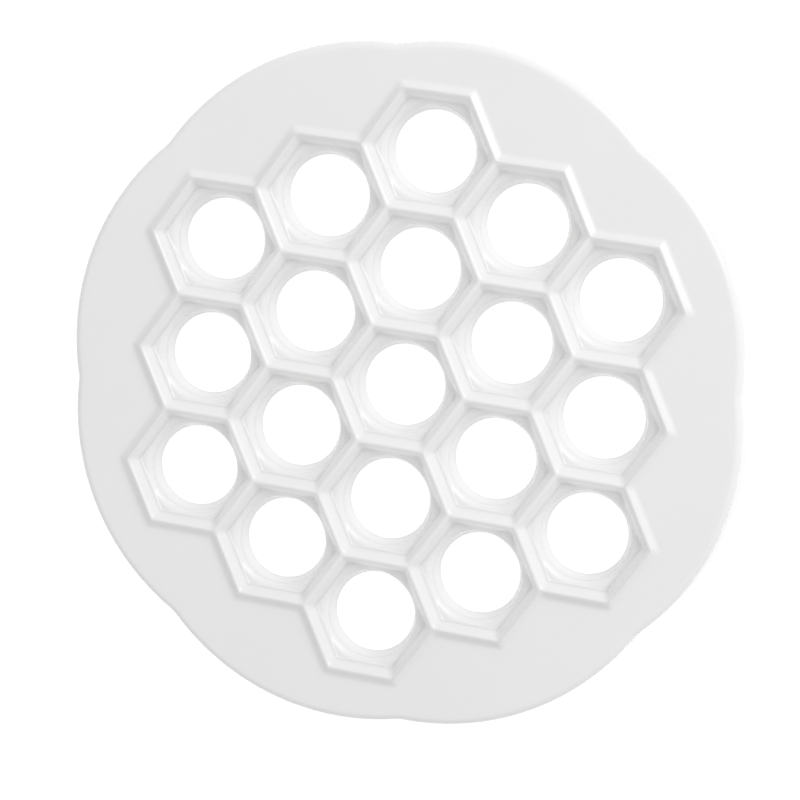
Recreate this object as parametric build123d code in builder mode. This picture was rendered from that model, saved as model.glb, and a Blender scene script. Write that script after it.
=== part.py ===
from build123d import *
import os
from math import cos, radians, sin, sqrt

# Hexagonal-cell dumpling mould, one white injection moulding, modelled as its
# wall regions. Frame: origin at the middle of the base plane, +Z up towards the
# rib crests, +X along the middle row of five cells. Millimetres.

# ---- cell grid ----
pitch = 41.0                 # centre to centre of neighbouring cells
row_step = pitch * sqrt(3) / 2
rows = [(3, 2), (4, 1), (5, 0), (4, -1), (3, -2)]   # cells in the row, row number
cells = [((i - (n - 1) / 2) * pitch, k * row_step) for n, k in rows for i in range(n)]

# ---- heights ----
crest_z = 15.0               # top of the ribs, overall height
flange_z = 13.3              # flat top of the rim
plate_t = 2.2                # rim plate thickness
seam_z = flange_z - plate_t  # underside of the plate
skirt_top_z = 10.5           # the plate's rounded edge comes down to here
floor_z = 10.5               # cell floor, six small corners round the opening
lip_r = 2.4                  # quarter round from the cell floor down into the bore
bore_top_z = floor_z - lip_r # where the quarter round turns into the bore
collar_z = 7.6               # where the floor's underside meets the collar
collar_foot_z = 2.2          # collars stop clear of the base plane

# ---- rim ----
lobe_r = 88.5                # radius of each of the eight rim lobes, at the top
lobe_offset = 32.8           # distance of the lobe centres from the axis
lobes = 8
notch_r = 10.0               # soft hollow between two lobes
skirt_t = 2.0                # wall of the turned-down edge
skirt_draft = 0.9            # how far the turned-down edge spreads, top to foot
edge_r = 2.6                 # rounding of the rim's top edge
foot_r = 0.35                # rounding of the skirt's bottom edge

# ---- cell walls ----
crest_half = 0.35            # half the flat of a rib crest before rounding
crest_r = 1.1                # rounding of the crest's inner shoulder
border_run = 2.2             # width of the outer slope, crest to rim plate
wall_top = pitch / 2 - crest_half - 0.35    # apothem of the cell wall at the crest
wall_foot = 17.0             # apothem of the cell wall at the floor
corner_r = 1.6               # rounding in the six upright corners of a cell
bore_top_r = 15.8            # bore radius at its top
bore_foot_r = 14.3           # bore radius at the collar's foot
lip_out = bore_top_r + lip_r # radius where the quarter round leaves the floor
lip_turn = 48.6              # degrees round the lip at which the flat walls reach it
collar_t = 1.6               # wall of a collar
funnel_top = pitch / 2 - 1.0 # apothem of a funnel's outside under the plate
funnel_low = 18.0            # the same at the collar
funnel_cone_low = 18.6       # outside cone of a funnel, at the collar
funnel_cone_top = 22.6       # the same under the plate

bore_slope = (bore_top_r - bore_foot_r) / (bore_top_z - collar_foot_z)
bore_seam_r = bore_foot_r + bore_slope * (collar_z - collar_foot_z)
over = 1.0                   # tools run this far past the faces they cut


def wall_apothem(z):
    return wall_foot + (wall_top - wall_foot) * (z - floor_z) / (crest_z - floor_z)


def on_lip(turn):
    return (lip_out - lip_r * cos(radians(turn)), bore_top_z + lip_r * sin(radians(turn)))


join_z = on_lip(lip_turn)[1]

# ---- rounded mouth of the opening: its lower ring, and its upper ring with the floor ----
with BuildPart() as mouth_lower:
    with BuildSketch(Plane.XZ):
        with BuildLine():
            ThreePointArc(on_lip(0), on_lip(lip_turn / 2), on_lip(lip_turn))
            Polyline(on_lip(lip_turn), (0, join_z), (0, bore_top_z), on_lip(0))
        make_face()
    revolve(axis=Axis.Z)

with BuildPart() as mouth_upper:
    with BuildSketch(Plane.XZ):
        with BuildLine():
            ThreePointArc(on_lip(lip_turn), on_lip(45 + lip_turn / 2), on_lip(90))
            Polyline(on_lip(90), (pitch, floor_z), (pitch, crest_z + 2 * over),
                     (0, crest_z + 2 * over), (0, join_z), on_lip(lip_turn))
        make_face()
    revolve(axis=Axis.Z)

# ---- space inside one cell: six sloping walls down to the floor and the mouth ----
with BuildPart() as cell_space:
    for z, apothem in ((join_z, wall_apothem(join_z) + 0.05), (crest_z + over, wall_apothem(crest_z + over))):
        with BuildSketch(Plane.XY.offset(z)) as section:
            RegularPolygon(apothem, 6, major_radius=False, rotation=30)
            fillet(section.vertices(), radius=corner_r)
    loft(ruled=True)
    add(mouth_upper.part, mode=Mode.INTERSECT)
    add(mouth_lower.part)

# ---- the tapered bore, from under the collar to the mouth ----
with BuildPart() as bore_space:
    with BuildSketch(Plane.XY.offset(collar_foot_z - over)):
        Circle(bore_foot_r - bore_slope * over)
    with BuildSketch(Plane.XY.offset(bore_top_z)):
        Circle(bore_top_r)
    loft(ruled=True)

# ---- one cell's share of the rib lattice, from the plate's underside to the crest ----
with BuildPart() as one_rib:
    with BuildSketch(Plane.XY.offset(seam_z)):
        RegularPolygon(pitch / 2, 6, major_radius=False, rotation=30)
    extrude(amount=crest_z - seam_z)
    add(cell_space.part, mode=Mode.SUBTRACT)
    mouth = (
        one_rib.edges()
        .filter_by_position(Axis.Z, crest_z - 0.01, crest_z + 0.01)
        .filter_by(lambda e: max(abs(e.center().X), abs(e.center().Y)) > 0)
        .filter_by(lambda e: sqrt(e.center().X ** 2 + e.center().Y ** 2) < pitch / 2 - 0.2
                   or (e.length < 3 and e.geom_type != GeomType.LINE))
    )
    fillet(mouth, radius=crest_r)

# ---- one cell's funnel: the thin floor under the ribs, hollow behind ----
with BuildPart() as one_funnel:
    for z, a in ((collar_z, funnel_low), (seam_z, funnel_top)):
        with BuildSketch(Plane.XY.offset(z)):
            RegularPolygon(a, 6, major_radius=False, rotation=30)
    loft(ruled=True)
    with BuildSketch(Plane.XY.offset(collar_z)):
        Circle(funnel_cone_low)
    with BuildSketch(Plane.XY.offset(seam_z)):
        Circle(funnel_cone_top)
    loft(ruled=True, mode=Mode.INTERSECT)
    add(cell_space.part, mode=Mode.SUBTRACT)
    add(bore_space.part, mode=Mode.SUBTRACT)

# ---- one collar: the short tapered tube that cuts and releases the dumpling ----
with BuildPart() as one_collar:
    with BuildSketch(Plane.XY.offset(collar_foot_z)):
        Circle(bore_foot_r + collar_t - 0.3)
    with BuildSketch(Plane.XY.offset(collar_z)):
        Circle(bore_seam_r + collar_t)
    loft(ruled=True)
    add(bore_space.part, mode=Mode.SUBTRACT)

# ---- rim plate, with the outer slope of the honeycomb's border ----
with BuildPart() as rim_flange:
    with BuildSketch(Plane.XY.offset(skirt_top_z)) as outline:
        with PolarLocations(lobe_offset, lobes):
            Circle(lobe_r)
        fillet(outline.vertices(), radius=notch_r)
    extrude(amount=flange_z - skirt_top_z)
    fillet(rim_flange.edges().filter_by_position(Axis.Z, flange_z - 0.01, flange_z + 0.01), radius=edge_r)
    with BuildSketch(Plane.XY.offset(skirt_top_z)) as hollow:
        with PolarLocations(lobe_offset, lobes):
            Circle(lobe_r - skirt_t)
        fillet(hollow.vertices(), radius=notch_r + skirt_t)
    extrude(amount=seam_z - skirt_top_z, mode=Mode.SUBTRACT)
    for x, y in cells:
        if sqrt(x * x + y * y) > 1.5 * pitch:
            with BuildSketch(Plane.XY.offset(flange_z)):
                with Locations((x, y)):
                    RegularPolygon(pitch / 2 + crest_half + border_run, 6, major_radius=False, rotation=30)
            with BuildSketch(Plane.XY.offset(crest_z)):
                with Locations((x, y)):
                    RegularPolygon(pitch / 2 + crest_half, 6, major_radius=False, rotation=30)
            loft(ruled=True)
    with BuildSketch(Plane.XY.offset(seam_z - over)):
        with Locations(*cells):
            RegularPolygon(pitch / 2, 6, major_radius=False, rotation=30)
    extrude(amount=crest_z - seam_z + 2 * over, mode=Mode.SUBTRACT)

# ---- turned-down edge that the mould stands on, spreading a little towards its foot ----
with BuildPart() as rim_skirt:
    for z, spread in ((0, skirt_draft), (skirt_top_z, 0)):
        with BuildSketch(Plane.XY.offset(z)) as outer:
            with PolarLocations(lobe_offset, lobes):
                Circle(lobe_r + spread)
            fillet(outer.vertices(), radius=notch_r - spread)
    loft(ruled=True)
    for z, spread in ((0, skirt_draft - skirt_t), (skirt_top_z, -skirt_t)):
        with BuildSketch(Plane.XY.offset(z)) as inner:
            with PolarLocations(lobe_offset, lobes):
                Circle(lobe_r + spread)
            fillet(inner.vertices(), radius=notch_r - spread)
    loft(ruled=True, mode=Mode.SUBTRACT)
    fillet(rim_skirt.edges().filter_by_position(Axis.Z, -0.01, 0.01), radius=foot_r)

one_of = {"cell_ribs": one_rib.part, "cell_funnels": one_funnel.part, "hole_collars": one_collar.part}
groups = {name: Compound(children=[Pos(x, y, 0) * piece for x, y in cells]) for name, piece in one_of.items()}

cell_ribs = groups["cell_ribs"]
cell_ribs.label = "cell_ribs"
cell_funnels = groups["cell_funnels"]
cell_funnels.label = "cell_funnels"
hole_collars = groups["hole_collars"]
hole_collars.label = "hole_collars"
rim_flange.part.label = "rim_flange"
rim_skirt.part.label = "rim_skirt"

os.makedirs("parts", exist_ok=True)
export_step(rim_flange.part, "parts/rim_flange.step")
export_step(rim_skirt.part, "parts/rim_skirt.step")
export_step(cell_ribs, "parts/cell_ribs.step")
export_step(cell_funnels, "parts/cell_funnels.step")
export_step(hole_collars, "parts/hole_collars.step")
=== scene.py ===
import bpy
import math
import numpy as np
from mathutils import Matrix, Vector


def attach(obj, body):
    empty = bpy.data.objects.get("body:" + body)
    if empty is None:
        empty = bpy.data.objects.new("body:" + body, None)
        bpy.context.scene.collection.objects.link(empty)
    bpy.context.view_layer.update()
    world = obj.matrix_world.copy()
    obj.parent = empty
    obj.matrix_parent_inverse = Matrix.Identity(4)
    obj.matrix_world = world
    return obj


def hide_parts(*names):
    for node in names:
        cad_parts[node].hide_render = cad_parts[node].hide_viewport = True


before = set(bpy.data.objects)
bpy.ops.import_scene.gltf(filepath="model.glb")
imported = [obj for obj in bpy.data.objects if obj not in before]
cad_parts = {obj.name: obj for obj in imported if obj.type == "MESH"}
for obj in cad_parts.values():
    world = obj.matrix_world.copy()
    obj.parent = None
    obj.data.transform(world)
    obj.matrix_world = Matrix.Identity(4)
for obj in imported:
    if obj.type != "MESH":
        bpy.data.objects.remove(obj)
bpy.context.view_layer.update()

# Dimensions in millimetres, the same as the model's own.
PITCH, CREST, FLANGE, PLATE = 41.0, 15.0, 13.3, 2.2
SEAM = FLANGE - PLATE
BORE_TOP, COLLAR, FOOT = 8.1, 7.6, 2.2
LOBE_R, LOBE_OFF, LOBES, NOTCH_R = 88.5, 32.8, 8, 10.0
SKIRT_T, EDGE_R, FOOT_R = 2.0, 2.6, 0.35
SKIRT_TOP = 10.5       # the plate's rounded edge comes down to here
DRAFT = 0.86           # spread of the skirt from the plate to its foot
CREST_HALF, BORDER_RUN = 0.35, 2.2
WALL_TOP, WALL_FOOT, FLOOR = PITCH / 2 - 0.70, 17.0, 10.5
CORNER_R = 1.6
BORE_TOP_R, BORE_FOOT_R = 15.8, 14.3
LIP_R = FLOOR - BORE_TOP         # quarter round from the cell floor into the bore
LIP_OUT = BORE_TOP_R + LIP_R
COLLAR_T, FUNNEL_TOP, FUNNEL_LOW = 1.6, PITCH / 2 - 1.0, 18.0
FUNNEL_CONE_LOW, FUNNEL_CONE = 18.6, 22.6
CREASE = 0.6           # softness of the crease between wall and floor
SHOULDER = 1.12        # softness of the crest's shoulders

A = PITCH / 2
ROW = PITCH * math.sqrt(3) / 2
CELLS = [((i - (n - 1) / 2) * PITCH, k * ROW)
         for n, k in ((3, 2), (4, 1), (5, 0), (4, -1), (3, -2)) for i in range(n)]
NORMALS = np.array([[math.cos(math.radians(60 * k)), math.sin(math.radians(60 * k))] for k in range(6)])


def smax(a, b, k):
    return np.maximum(a, b) + np.maximum(k - np.abs(a - b), 0.0) ** 2 / (4 * k)


def smin(a, b, k):
    return np.minimum(a, b) - np.maximum(k - np.abs(a - b), 0.0) ** 2 / (4 * k)


def hexdist(x, y, soft=0.0):
    """Apothem of the hexagon through (x, y), with the corners rounded by soft."""
    d = np.sort(np.stack([n[0] * x + n[1] * y for n in NORMALS]), axis=0)
    top, second = d[-1], d[-2]
    if soft <= 0:
        return top
    k = soft / 2
    return top + np.maximum(k - (top - second), 0.0) ** 2 / (4 * k)


def cell_height(x, y):
    """Height of the moulding's upper skin inside one cell, from its centre."""
    h = hexdist(x, y, CORNER_R)
    r = np.hypot(x, y)
    wall = FLOOR + (h - WALL_FOOT) * (CREST - FLOOR) / (WALL_TOP - WALL_FOOT)
    lip = BORE_TOP + np.sqrt(LIP_R ** 2 - np.clip(LIP_OUT - r, 0.0, LIP_R) ** 2)
    z = smax(wall, lip, CREASE)
    return smin(z, CREST, SHOULDER)


def border_height(x, y):
    """Height of the upper skin outside the honeycomb."""
    out = None
    for cx, cy in CELLS:
        d = hexdist(x - cx, y - cy, 1.2) - A
        out = d if out is None else smin(out, d, 0.8)
    z = CREST - (out - CREST_HALF) * (CREST - FLANGE) / BORDER_RUN
    z = smin(z, CREST, 0.27)
    return smax(z, FLANGE, 0.7)


# ---- mesh helpers ----
def piece(name, verts, faces, node, sharp=38.0):
    """A closed mesh in metres that stands for one CAD node."""
    me = bpy.data.meshes.new(name)
    verts = np.asarray(verts, float) * 0.001
    me.from_pydata(verts.tolist(), [], faces)
    me.validate()
    me.polygons.foreach_set("use_smooth", [True] * len(me.polygons))
    ob = bpy.data.objects.new(name, me)
    bpy.context.scene.collection.objects.link(ob)
    import bmesh
    bm = bmesh.new()
    bm.from_mesh(me)
    bmesh.ops.remove_doubles(bm, verts=bm.verts, dist=2e-6)
    bmesh.ops.recalc_face_normals(bm, faces=bm.faces)
    bm.to_mesh(me)
    bm.free()
    me.set_sharp_from_angle(angle=math.radians(sharp))
    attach(ob, "root")
    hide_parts(node)
    return ob


def grid_faces(rings, n, closed_u=True, start=0, flip=False):
    """Quads of a grid of rings, each of n points."""
    out = []
    span = n if closed_u else n - 1
    for k in range(rings - 1):
        a, b = start + k * n, start + (k + 1) * n
        for j in range(span):
            j2 = (j + 1) % n
            q = (a + j, a + j2, b + j2, b + j)
            out.append(q[::-1] if flip else q)
    return out


def loop_mesh(rings, close=True):
    """Rings of n points each, joined in order, and the last to the first."""
    n = len(rings[0])
    verts = np.concatenate(rings)
    faces = grid_faces(len(rings), n)
    if close:
        a, b = (len(rings) - 1) * n, 0
        faces += [(a + j, a + (j + 1) % n, b + (j + 1) % n, b + j) for j in range(n)]
    return verts, faces


# ---- directions round one cell, the six corners among them ----
PER_SIDE = 20
theta, reach = [], []
for k in range(6):
    for j in range(PER_SIDE):
        # even steps along the side, from one corner to the next
        t = -math.tan(math.radians(30)) * A + j / PER_SIDE * 2 * math.tan(math.radians(30)) * A
        theta.append(math.radians(60 * k) + math.atan2(t, A))
        reach.append(math.hypot(A, t))
theta, reach = np.array(theta), np.array(reach)
ct, st = np.cos(theta), np.sin(theta)
N = len(theta)


def ring(r, z):
    r = np.broadcast_to(r, N)
    return np.stack([r * ct, r * st, np.broadcast_to(z, N)], axis=1)


def hexring(apothem, z=None):
    r = reach * apothem / A
    return ring(r, cell_height(r * ct, r * st) if z is None else z)


SEAM_APO = 17.35       # the ribs' skin ends and the funnel's begins at this ring
rib_apos = [20.5, 20.36, 20.22, 20.08, 19.94, 19.8, 19.66, 19.52, 19.38, 19.24, 19.1, 18.9, 18.6, 18.3, 18.0, 17.75, 17.55, SEAM_APO]
rib_rings = [hexring(a) for a in rib_apos]

# floor rings, from the seam ring to a circle on the lip: hexagons that turn into circles
slope_bore = (BORE_TOP_R - BORE_FOOT_R) / (BORE_TOP - FOOT)


def bore_r(z):
    return BORE_FOOT_R + slope_bore * (z - FOOT)


TURN = math.radians(46.0)      # how far round the lip that circle lies
lip_in = LIP_OUT - LIP_R * math.sin(TURN)
floor_rings = [rib_rings[-1]]
STEPS = 22
for i in range(1, STEPS + 1):
    s = i / STEPS
    r = (1 - s) * reach * SEAM_APO / A + s * lip_in
    floor_rings.append(ring(r, cell_height(r * ct, r * st)))

# the rest of the lip, down to the bore
lip_rings = []
for i in range(1, 11):
    t = TURN + (math.pi / 2 - TURN) * i / 10
    lip_rings.append(ring(LIP_OUT - LIP_R * math.sin(t), BORE_TOP + LIP_R * math.cos(t)))

under_edge = ring(reach * FUNNEL_TOP / A, SEAM)

# ---- cell_ribs: one welded lattice of nineteen rings ----
verts, faces = [], []
base = 0
one = np.concatenate(rib_rings + [under_edge, ring(reach, SEAM)])
one_faces = grid_faces(len(rib_rings) + 2, N)
for cx, cy in CELLS:
    verts.append(one + np.array([cx, cy, 0.0]))
    faces += [tuple(base + i for i in f) for f in one_faces]
    base += len(one)
verts = np.concatenate(verts)
# side wall where a cell meets the rim plate
centres = np.array(CELLS)
for c, (cx, cy) in enumerate(CELLS):
    for k in range(6):
        other = np.array([cx, cy]) + PITCH * NORMALS[k]
        if np.min(np.hypot(*(centres - other).T)) > 1:
            off = c * len(one)
            last = off + (len(rib_rings) + 1) * N
            for j in range(PER_SIDE):
                a, b = k * PER_SIDE + j, (k * PER_SIDE + j + 1) % N
                faces.append((off + a, off + b, last + b, last + a))
ribs = piece("cell_ribs_skin", verts, faces, "cell_ribs")

# ---- cell_funnels: nineteen closed rings ----
def under_height(r):
    x, y = r * ct, r * st
    cone = COLLAR + (r - FUNNEL_CONE_LOW) * (SEAM - COLLAR) / (FUNNEL_CONE - FUNNEL_CONE_LOW)
    wall = COLLAR + (hexdist(x, y, 1.0) - FUNNEL_LOW) * (SEAM - COLLAR) / (FUNNEL_TOP - FUNNEL_LOW)
    return smax(smax(cone, COLLAR, 0.8), wall, 0.8)


outside = []
r_in = bore_r(COLLAR) + COLLAR_T
for i in range(0, 19):
    s = i / 18
    r = r_in + (reach * FUNNEL_TOP / A - r_in) * s
    z = under_height(r)
    z = np.clip(z, COLLAR, SEAM)
    if i == 0:
        z = np.full(N, COLLAR)
    if i == 18:
        z = np.full(N, SEAM)
    outside.append(ring(r, z))
funnel = floor_rings + lip_rings + [ring(bore_r(COLLAR), COLLAR)] + outside
fv, ff = loop_mesh(funnel)
verts, faces, base = [], [], 0
for cx, cy in CELLS:
    verts.append(fv + np.array([cx, cy, 0.0]))
    faces += [tuple(base + i for i in f) for f in ff]
    base += len(fv)
funnels = piece("cell_funnels_skin", np.concatenate(verts), faces, "cell_funnels")

# ---- hole_collars: nineteen tubes with a rounded foot ----
out_top, out_foot = bore_r(COLLAR) + COLLAR_T, BORE_FOOT_R + COLLAR_T - 0.3
tube = [ring(bore_r(z), z) for z in np.linspace(COLLAR, FOOT + 0.5, 10)]
mid, half = (BORE_FOOT_R + out_foot) / 2, (out_foot - BORE_FOOT_R) / 2
for i in range(0, 9):
    a = math.pi * i / 8
    tube.append(ring(mid - (half - 0.02) * math.cos(a), FOOT + 0.45 * (1 - math.sin(a))))
tube += [ring(out_foot + (out_top - out_foot) * (z - FOOT) / (COLLAR - FOOT), z) for z in np.linspace(FOOT + 0.5, COLLAR, 10)]
tv, tf = loop_mesh(tube)
verts, faces, base = [], [], 0
for cx, cy in CELLS:
    verts.append(tv + np.array([cx, cy, 0.0]))
    faces += [tuple(base + i for i in f) for f in tf]
    base += len(tv)
collars = piece("hole_collars_skin", np.concatenate(verts), faces, "hole_collars")

# ---- the honeycomb's border and the rim outline, walked together ----
def rim_radius(ang):
    """Distance of the lobed outline from the axis, with its soft hollows."""
    ph = np.mod(ang, 2 * math.pi / LOBES)
    ph = np.minimum(ph, 2 * math.pi / LOBES - ph)
    plain = LOBE_OFF * np.cos(ph) + np.sqrt(LOBE_R ** 2 - (LOBE_OFF * np.sin(ph)) ** 2)
    # hollow: a circle of NOTCH_R outside, tangent to both lobes, centred on the hollow's line
    half_step = math.pi / LOBES
    dist = LOBE_OFF * math.cos(half_step) + math.sqrt((LOBE_R + NOTCH_R) ** 2 - (LOBE_OFF * math.sin(half_step)) ** 2)
    u = half_step - ph
    inside = NOTCH_R ** 2 - (dist * np.sin(u)) ** 2
    near = dist * np.cos(u) - np.sqrt(np.maximum(inside, 0))
    # tangent point of lobe and hollow, as seen from the axis
    lobe = np.array([LOBE_OFF, 0.0])
    hollow = dist * np.array([math.cos(half_step), math.sin(half_step)])
    touch = lobe + (hollow - lobe) * LOBE_R / (LOBE_R + NOTCH_R)
    return np.where(ph > math.atan2(touch[1], touch[0]), near, plain)


corner = []
for cx, cy in CELLS:
    for k in range(6):
        a = math.radians(30 + 60 * k)
        corner.append((cx + A / math.cos(math.radians(30)) * math.cos(a), cy + A / math.cos(math.radians(30)) * math.sin(a)))
edges = {}
for cx, cy in CELLS:
    for k in range(6):
        if np.min(np.hypot(*(centres - (np.array([cx, cy]) + PITCH * NORMALS[k])).T)) > 1:
            rr = A / math.cos(math.radians(30))
            p = [(round(cx + rr * math.cos(math.radians(60 * k + s)), 4), round(cy + rr * math.sin(math.radians(60 * k + s)), 4)) for s in (-30, 30)]
            edges[p[0]] = p[1]
walk = [min(edges, key=lambda q: abs(math.atan2(q[1], q[0])))]
while len(walk) < len(edges):
    nxt = walk[-1]
    for q in edges:
        if math.hypot(q[0] - nxt[0], q[1] - nxt[1]) < 0.01:
            nxt = edges[q]
            break
    walk.append(nxt)
walk = np.array(walk)
M = len(walk)
prev_d = walk - np.roll(walk, 1, axis=0)
next_d = np.roll(walk, -1, axis=0) - walk
pn = np.stack([prev_d[:, 1], -prev_d[:, 0]], 1) / np.hypot(*prev_d.T)[:, None]
nn = np.stack([next_d[:, 1], -next_d[:, 0]], 1) / np.hypot(*next_d.T)[:, None]
mitre = (pn + nn) / (1 + np.sum(pn * nn, axis=1))[:, None]
PER_EDGE = PER_SIDE
line, out_dir = [], []
for i in range(M):
    for j in range(PER_EDGE):
        t = j / PER_EDGE
        line.append(walk[i] * (1 - t) + walk[(i + 1) % M] * t)
        out_dir.append(mitre[i] * (1 - t) + mitre[(i + 1) % M] * t)
line, out_dir = np.array(line), np.array(out_dir)
ang = np.unwrap(np.arctan2(line[:, 1], line[:, 0]))
# the same rays, evened out towards the rim so that its outline is sampled well
NR = len(line)
even = ang[0] + 2 * math.pi * np.arange(NR) / NR
rim_ang = 0.35 * ang + 0.65 * even


def flat_ring(xy, z):
    return np.concatenate([xy, np.broadcast_to(z, len(xy)).reshape(-1, 1)], axis=1)


def rim_point(inset):
    """The outline, moved inwards by inset along its own normal."""
    fine = np.linspace(0, 2 * math.pi, 7201)
    rad = rim_radius(fine)
    px, py = rad * np.cos(fine), rad * np.sin(fine)
    dx, dy = np.gradient(px), np.gradient(py)
    length = np.hypot(dx, dy)
    px, py = px - inset * dy / length, py + inset * dx / length
    a = np.unwrap(np.arctan2(py, px))
    r = np.hypot(px, py)
    want = np.mod(rim_ang - a[0], 2 * math.pi) + a[0]
    rr = np.interp(want, a, r)
    return np.stack([rr * np.cos(rim_ang), rr * np.sin(rim_ang)], axis=1)


top = []
for d in [0, 0.1, 0.2, 0.3, 0.4, 0.5, 0.6, 0.75, 0.95, 1.2, 1.5, 1.8, 2.1, 2.4, 2.6, 2.8, 3.0, 3.2, 3.5, 3.9, 4.4]:
    xy = line + d * out_dir
    top.append(flat_ring(xy, border_height(xy[:, 0], xy[:, 1])))
start_xy = line + 4.4 * out_dir
end_xy = rim_point(EDGE_R)
for s in np.linspace(0, 1, 12)[1:]:
    xy = start_xy * (1 - s) + end_xy * s
    top.append(flat_ring(xy, np.maximum(border_height(xy[:, 0], xy[:, 1]), FLANGE)))
for i in range(1, 15):
    a = math.pi / 2 * i / 14
    top.append(flat_ring(rim_point(EDGE_R * (1 - math.sin(a))), FLANGE - EDGE_R * (1 - math.cos(a))))
top.append(flat_ring(rim_point(0), SKIRT_TOP))
top.append(flat_ring(rim_point(SKIRT_T), SKIRT_TOP))
top.append(flat_ring(rim_point(SKIRT_T), SEAM))
top.append(flat_ring(line, SEAM))
rv, rf = loop_mesh(top)
flange = piece("rim_flange_skin", rv, rf, "rim_flange")

# ---- rim_skirt ----
def spread(z):
    return DRAFT * (SKIRT_TOP - z) / SKIRT_TOP


sk = [flat_ring(rim_point(-spread(z)), z) for z in np.linspace(SKIRT_TOP, FOOT_R, 8)]
for i in range(1, 6):
    a = math.pi / 2 * i / 5
    sk.append(flat_ring(rim_point(-spread(FOOT_R) + FOOT_R * (1 - math.cos(a))), FOOT_R * (1 - math.sin(a))))
for i in range(0, 6):
    a = math.pi / 2 * i / 5
    sk.append(flat_ring(rim_point(SKIRT_T - spread(FOOT_R) - FOOT_R * (1 - math.sin(a))), FOOT_R * (1 - math.cos(a))))
sk += [flat_ring(rim_point(SKIRT_T - spread(z)), z) for z in np.linspace(FOOT_R, SKIRT_TOP, 8)[1:]]
sv, sf = loop_mesh(sk)
skirt = piece("rim_skirt_skin", sv, sf, "rim_skirt")

# ---- glossy white moulded plastic ----
mat = bpy.data.materials.new("white_plastic")
mat.use_nodes = True
nt = mat.node_tree
bsdf = nt.nodes["Principled BSDF"]
coord = nt.nodes.new("ShaderNodeTexCoord")
broad = nt.nodes.new("ShaderNodeTexNoise")
broad.inputs["Scale"].default_value = 22.0
broad.inputs["Detail"].default_value = 3.0
nt.links.new(coord.outputs["Object"], broad.inputs["Vector"])
ramp = nt.nodes.new("ShaderNodeValToRGB")
ramp.color_ramp.elements[0].position = 0.3
ramp.color_ramp.elements[0].color = (0.885, 0.885, 0.882, 1)
ramp.color_ramp.elements[1].position = 0.7
ramp.color_ramp.elements[1].color = (0.90, 0.90, 0.898, 1)
nt.links.new(broad.outputs["Fac"], ramp.inputs["Fac"])
nt.links.new(ramp.outputs["Color"], bsdf.inputs["Base Color"])
fine = nt.nodes.new("ShaderNodeTexNoise")
fine.inputs["Scale"].default_value = 260.0
fine.inputs["Detail"].default_value = 4.0
nt.links.new(coord.outputs["Object"], fine.inputs["Vector"])
rough = nt.nodes.new("ShaderNodeMapRange")
rough.inputs["To Min"].default_value = 0.20
rough.inputs["To Max"].default_value = 0.27
nt.links.new(fine.outputs["Fac"], rough.inputs["Value"])
nt.links.new(rough.outputs["Result"], bsdf.inputs["Roughness"])
bump = nt.nodes.new("ShaderNodeBump")
bump.inputs["Strength"].default_value = 0.06
bump.inputs["Distance"].default_value = 0.0002
nt.links.new(fine.outputs["Fac"], bump.inputs["Height"])
nt.links.new(bump.outputs["Normal"], bsdf.inputs["Normal"])
bsdf.inputs["IOR"].default_value = 1.5
bsdf.inputs["Subsurface Weight"].default_value = 0.3
bsdf.inputs["Subsurface Radius"].default_value = (1.0, 1.0, 1.0)
bsdf.inputs["Subsurface Scale"].default_value = 0.0015
for ob in (ribs, funnels, collars, flange, skirt):
    ob.data.materials.append(mat)
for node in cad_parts.values():
    node.data.materials.clear()
    node.data.materials.append(mat)

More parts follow.
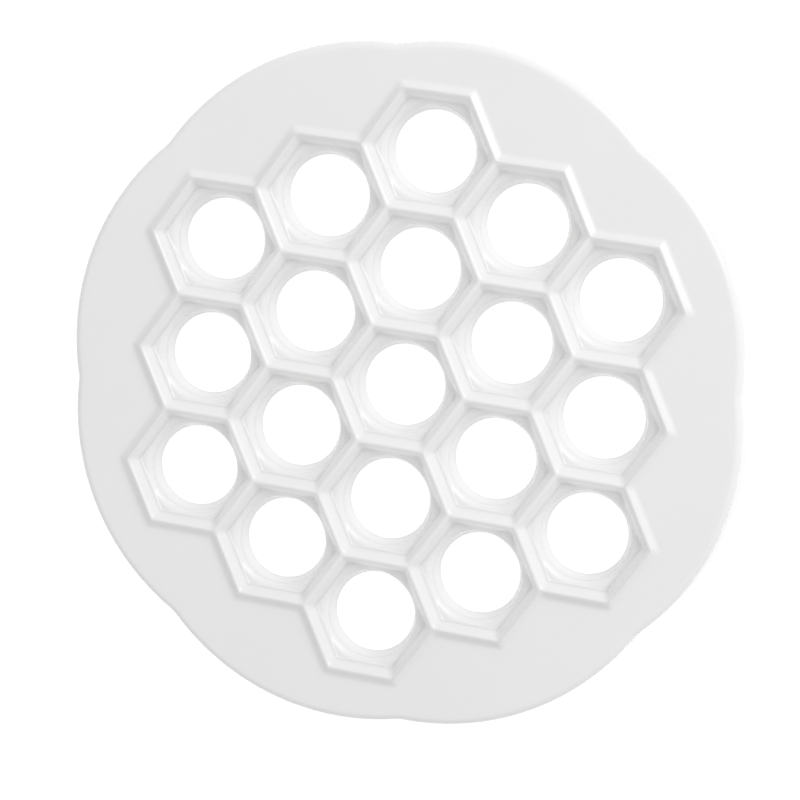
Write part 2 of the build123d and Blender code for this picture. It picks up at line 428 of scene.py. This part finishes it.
# ---- camera, from the fit of the cell grid to the photograph ----
rvec = np.array([0.1473, -0.2320, -0.1471])
tvec = np.array([-0.0244, 0.0967, -21.4703])
ang_r = np.linalg.norm(rvec)
k = rvec / ang_r
K = np.array([[0, -k[2], k[1]], [k[2], 0, -k[0]], [-k[1], k[0], 0]])
R = np.eye(3) + math.sin(ang_r) * K + (1 - math.cos(ang_r)) * K @ K
turn = np.array([[math.cos(math.radians(30)), -math.sin(math.radians(30)), 0],
                 [math.sin(math.radians(30)), math.cos(math.radians(30)), 0], [0, 0, 1]])
W = R @ turn
T = (PITCH * tvec - R @ np.array([0, 0, CREST])) * 0.001
place = -W.T @ T
cam_data = bpy.data.cameras.new("camera")
cam_data.sensor_width = 36.0
cam_data.lens = 36.0 * 2550.75 / 800
cam_data.clip_start = 0.01
cam = bpy.data.objects.new("camera", cam_data)
bpy.context.scene.collection.objects.link(cam)
m = Matrix(W.T.tolist()).to_4x4()
m.translation = Vector(place.tolist())
cam.matrix_world = m
bpy.context.scene.camera = cam
right, up, back = Vector(W[0].tolist()), Vector(W[1].tolist()), Vector(W[2].tolist())

# ---- floor and soft studio light ----
me = bpy.data.meshes.new("floor")
S = 6.0
me.from_pydata([(-S, -S, 0), (S, -S, 0), (S, S, 0), (-S, S, 0)], [], [(0, 1, 2, 3)])
floor = bpy.data.objects.new("floor", me)
floor.location.z = -0.0002
bpy.context.scene.collection.objects.link(floor)
fm = bpy.data.materials.new("floor")
fm.use_nodes = True
fb = fm.node_tree.nodes["Principled BSDF"]
fb.inputs["Base Color"].default_value = (0.9, 0.9, 0.9, 1)
fb.inputs["Roughness"].default_value = 0.9
fb.inputs["Emission Color"].default_value = (1, 1, 1, 1)
fb.inputs["Emission Strength"].default_value = 0.45
me.materials.append(fm)
floor.visible_diffuse = False    # seen, but throws no light up into the holes

world = bpy.data.worlds.new("world")
bpy.context.scene.world = world
world.use_nodes = True
world.node_tree.nodes["Background"].inputs["Color"].default_value = (1, 1, 1, 1)
world.node_tree.nodes["Background"].inputs["Strength"].default_value = 0.695


def area(name, direction, distance, size, power):
    data = bpy.data.lights.new(name, "AREA")
    data.shape = "SQUARE"
    data.size = size
    data.energy = power
    ob = bpy.data.objects.new(name, data)
    bpy.context.scene.collection.objects.link(ob)
    d = direction.normalized()
    ob.location = d * distance
    ob.rotation_euler = (-d).to_track_quat("-Z", "Y").to_euler()
    return ob


area("key", right * 0.77 + up * 0.64 + back * 1.15, 1.6, 0.9, 9.9)

vs = bpy.context.scene.view_settings
vs.view_transform = "Standard"
vs.look = "None"
